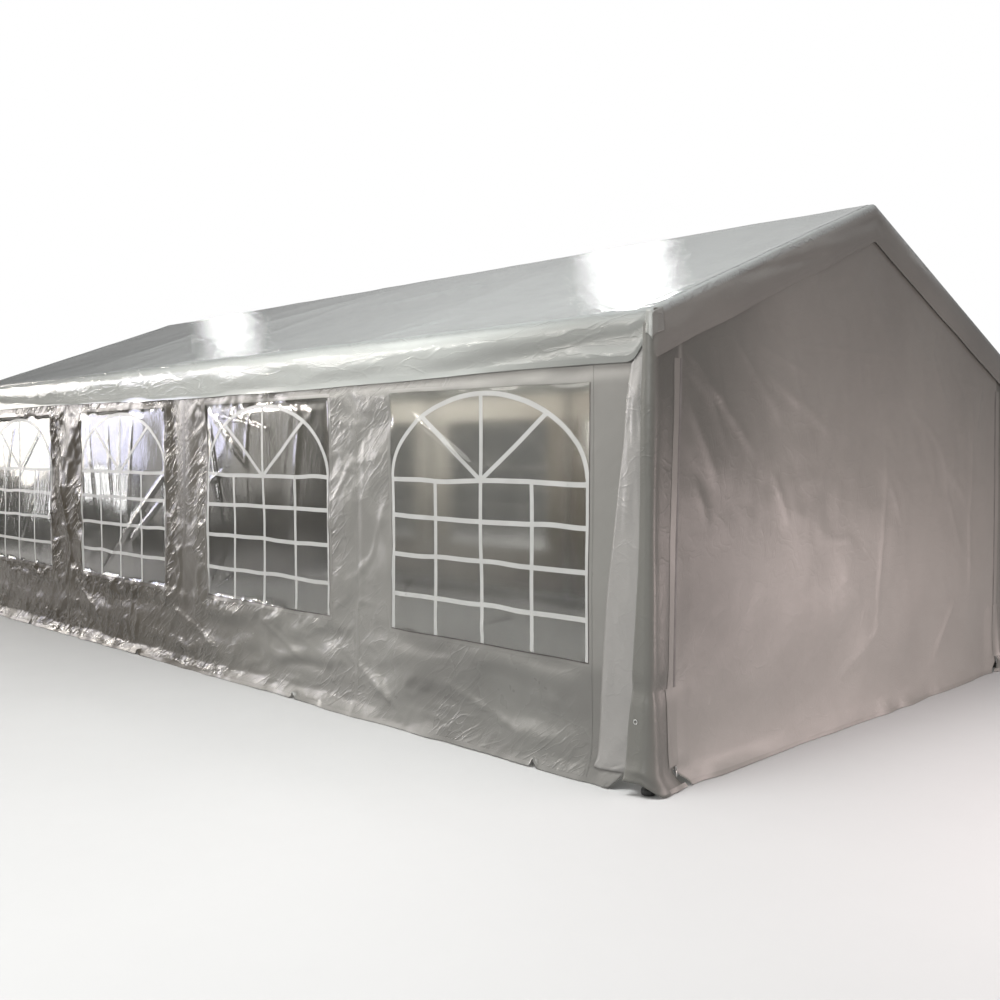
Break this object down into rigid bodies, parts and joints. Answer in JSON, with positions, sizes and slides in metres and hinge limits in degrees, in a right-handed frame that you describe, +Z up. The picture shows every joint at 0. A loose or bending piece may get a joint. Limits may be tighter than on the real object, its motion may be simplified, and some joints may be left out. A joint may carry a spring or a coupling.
{
  "type": "marquee tent",
  "caption": "Closed party marquee with a pitched roof cover, windowed side walls and zipped gable walls on a steel tube frame.",
  "frame": {"origin": "centre of the floor area, at the undersides of the feet", "axes": "+Z up, +Y along the ridge from the front gable to the back gable, +X across the tent to its right side"},
  "size_m": [4.09, 8.09, 2.8617],
  "materials": {
    "cover_sheet": "glossy coated woven polyethylene, silver grey, creased from packing",
    "clear_sheet": "clear flexible sheet with pale printed glazing bars",
    "frame_paint": "galvanised and grey coated steel tube",
    "foot_plastic": "black moulded plastic"
  },
  "bodies": {
    "root": {"roof_cover": "cover_sheet", "side_wall_left": "cover_sheet", "side_wall_right": "cover_sheet", "gable_wall_front": "cover_sheet", "gable_wall_back": "cover_sheet", "window_left_1": "clear_sheet", "window_left_2": "clear_sheet", "window_left_3": "clear_sheet", "window_left_4": "clear_sheet", "window_right_1": "clear_sheet", "window_right_2": "clear_sheet", "window_right_3": "clear_sheet", "window_right_4": "clear_sheet", "eave_rail_left": "frame_paint", "eave_rail_right": "frame_paint", "ridge_rail": "frame_paint", "ground_rail_left": "frame_paint", "ground_rail_right": "frame_paint", "leg_left_1": "frame_paint", "leg_left_2": "frame_paint", "leg_left_3": "frame_paint", "leg_left_4": "frame_paint", "leg_left_5": "frame_paint", "leg_right_1": "frame_paint", "leg_right_2": "frame_paint", "leg_right_3": "frame_paint", "leg_right_4": "frame_paint", "leg_right_5": "frame_paint", "rafter_left_1": "frame_paint", "rafter_left_2": "frame_paint", "rafter_left_3": "frame_paint", "rafter_left_4": "frame_paint", "rafter_left_5": "frame_paint", "rafter_right_1": "frame_paint", "rafter_right_2": "frame_paint", "rafter_right_3": "frame_paint", "rafter_right_4": "frame_paint", "rafter_right_5": "frame_paint", "foot_left_1": "foot_plastic", "foot_left_2": "foot_plastic", "foot_left_3": "foot_plastic", "foot_left_4": "foot_plastic", "foot_left_5": "foot_plastic", "foot_right_1": "foot_plastic", "foot_right_2": "foot_plastic", "foot_right_3": "foot_plastic", "foot_right_4": "foot_plastic", "foot_right_5": "foot_plastic"}
  },
  "joints": []
}
